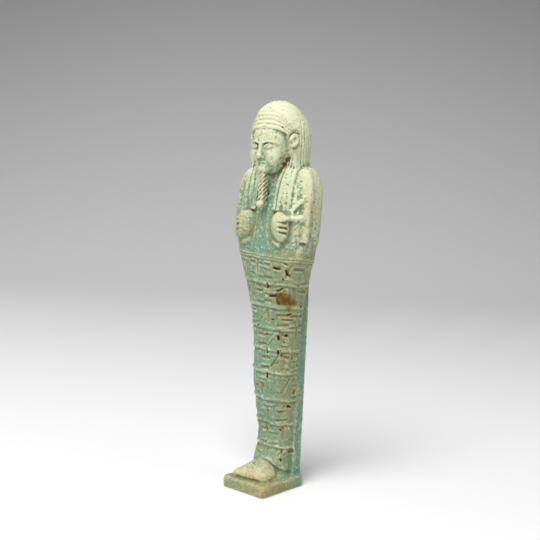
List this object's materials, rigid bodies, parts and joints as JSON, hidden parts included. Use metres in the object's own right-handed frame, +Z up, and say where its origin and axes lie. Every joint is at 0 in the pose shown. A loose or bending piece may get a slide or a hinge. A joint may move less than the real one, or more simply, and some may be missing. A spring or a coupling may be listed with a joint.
{
  "type": "ushabti figurine",
  "caption": "Standing mummiform ushabti in pale green faience, with tripartite wig, plaited beard, crossed hands with tools, rows of strokes, back pillar and plinth.",
  "frame": {"origin": "centre of the plinth's flat underside, midway across its width and depth", "axes": "+Z up along the figure, -Y the way the figure faces, +X towards the figure's own left side"},
  "size_m": [0.0438, 0.0302, 0.18],
  "materials": {
    "glazed_faience": "worn satin glaze, pale cream on raised parts and blue green in the hollows"
  },
  "bodies": {
    "root": {"ushabti": "glazed_faience"}
  },
  "joints": []
}
